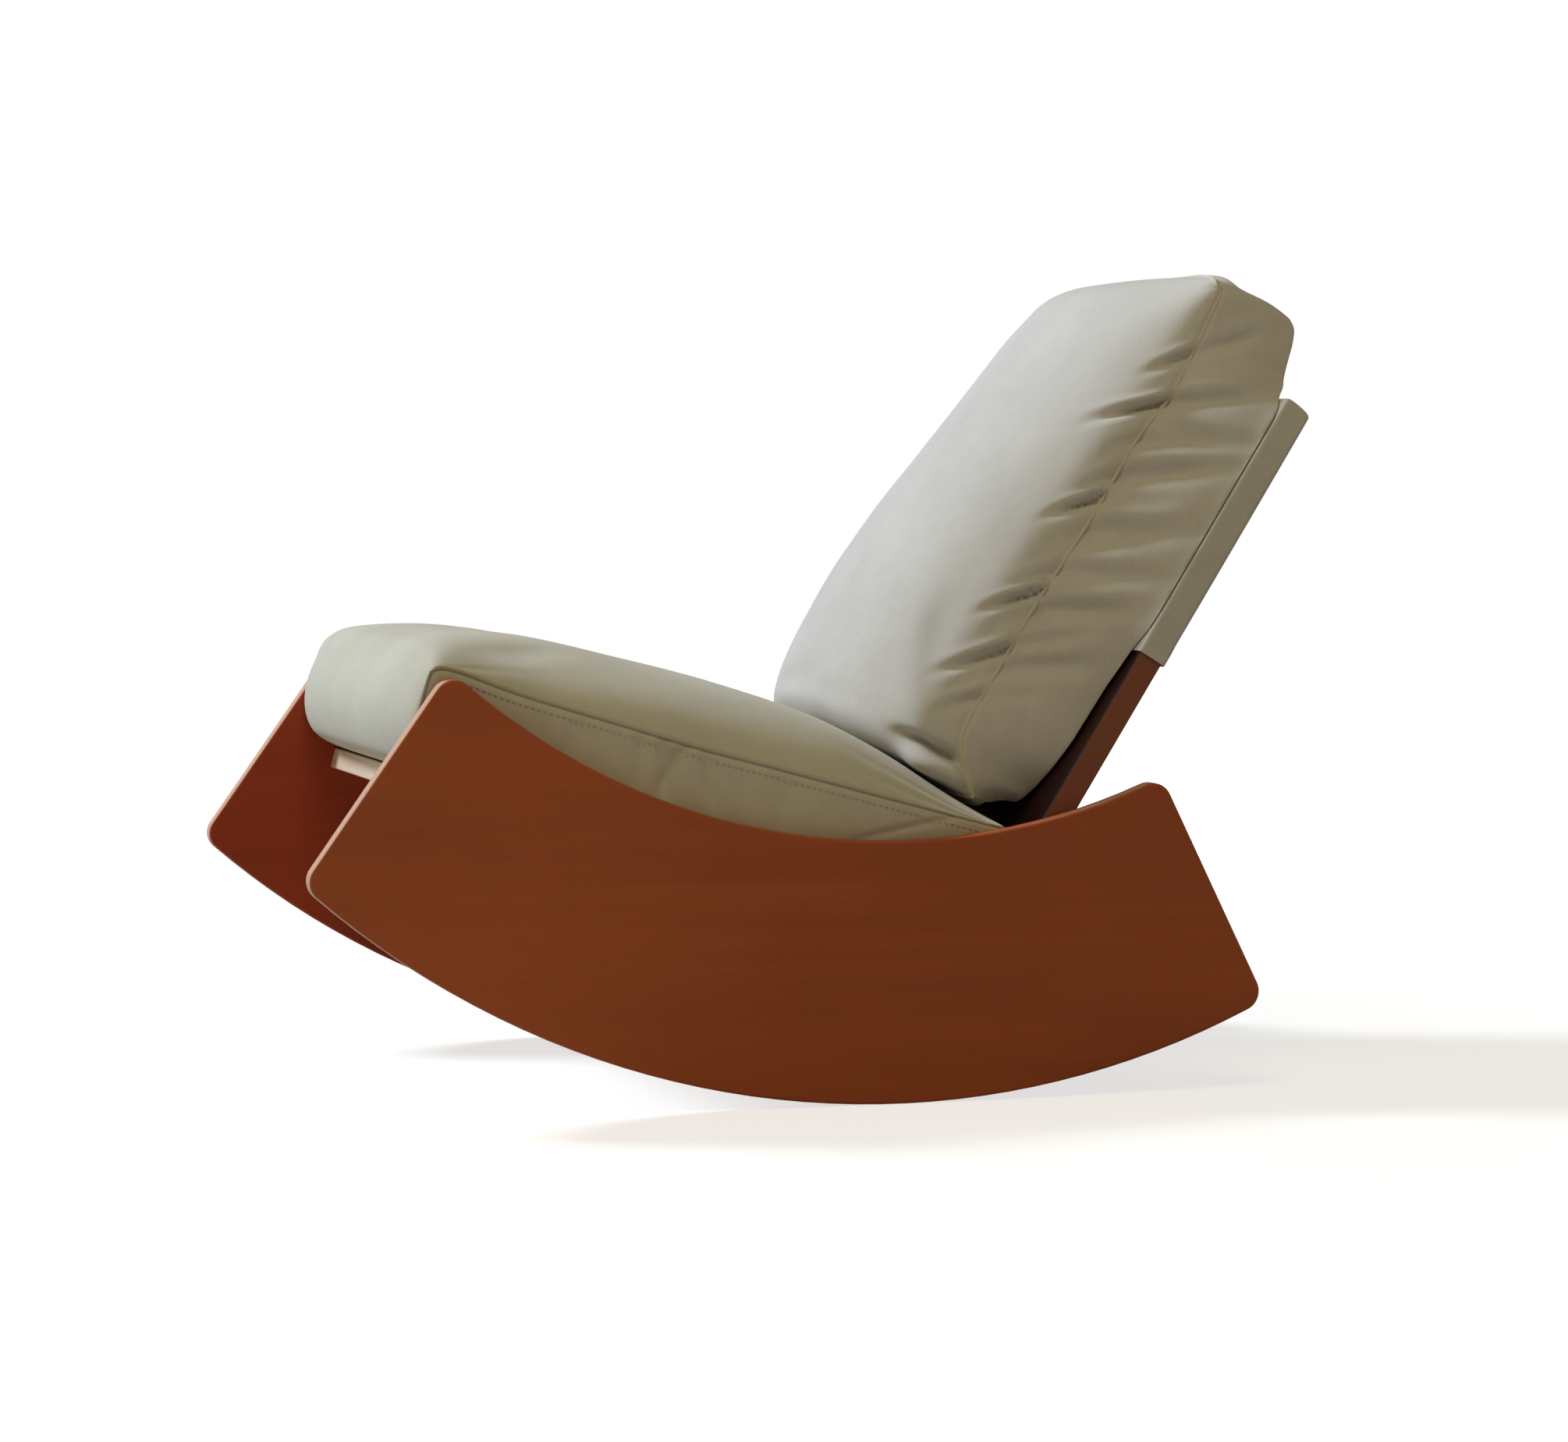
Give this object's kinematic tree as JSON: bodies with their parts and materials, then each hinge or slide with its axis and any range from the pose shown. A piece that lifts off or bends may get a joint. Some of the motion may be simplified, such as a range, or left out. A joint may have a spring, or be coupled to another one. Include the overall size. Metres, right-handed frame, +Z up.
{
  "type": "upholstered rocking chair",
  "caption": "Low rocking chair with curved board sides that rock on their arced lower edges, a slatted seat, a leaning ladder back and loose canvas cushions.",
  "frame": {"origin": "on the floor, at the middle of the chair's width and length", "axes": "+Z up, -Y the way the chair faces, +X to the sitter's left"},
  "size_m": [0.64, 1.0257, 0.8223],
  "materials": {
    "stained_wood": "satin varnish",
    "pale_wood": "satin varnish",
    "canvas": "matt woven",
    "foam": "matt open cell",
    "steel": "zinc plated"
  },
  "bodies": {
    "frame": {"left_rocker_panel": "stained_wood", "right_rocker_panel": "stained_wood", "left_seat_cleat": "pale_wood", "right_seat_cleat": "pale_wood", "left_back_stile": "stained_wood", "right_back_stile": "stained_wood", "seat_front_rail": "pale_wood", "seat_slat_1": "pale_wood", "seat_slat_2": "pale_wood", "seat_slat_3": "pale_wood", "seat_slat_4": "pale_wood", "seat_slat_5": "pale_wood", "back_bottom_rail": "stained_wood", "back_slat_1": "stained_wood", "back_slat_2": "stained_wood", "back_slat_3": "stained_wood", "back_slat_4": "stained_wood", "back_top_rail": "stained_wood", "seat_slat_screws": "steel", "cleat_screws": "steel", "front_rail_dowels": "pale_wood", "stile_bolts": "steel", "stile_bolt_inserts": "steel"},
    "seat_cushion": {"seat_cushion_cover": "canvas", "seat_cushion_core": "foam"},
    "back_cushion": {"back_cushion_cover": "canvas", "back_cushion_core": "foam", "back_sleeve": "canvas"}
  },
  "joints": [
    {"name": "seat_cushion_slide", "type": "slide", "parent": "frame", "child": "seat_cushion", "axis": [0, -0.9673, 0.2538], "range_m": [0, 0.65]},
    {"name": "back_cushion_lift", "type": "slide", "parent": "frame", "child": "back_cushion", "axis": [0, 0.5299, 0.848], "range_m": [0, 0.45]}
  ]
}
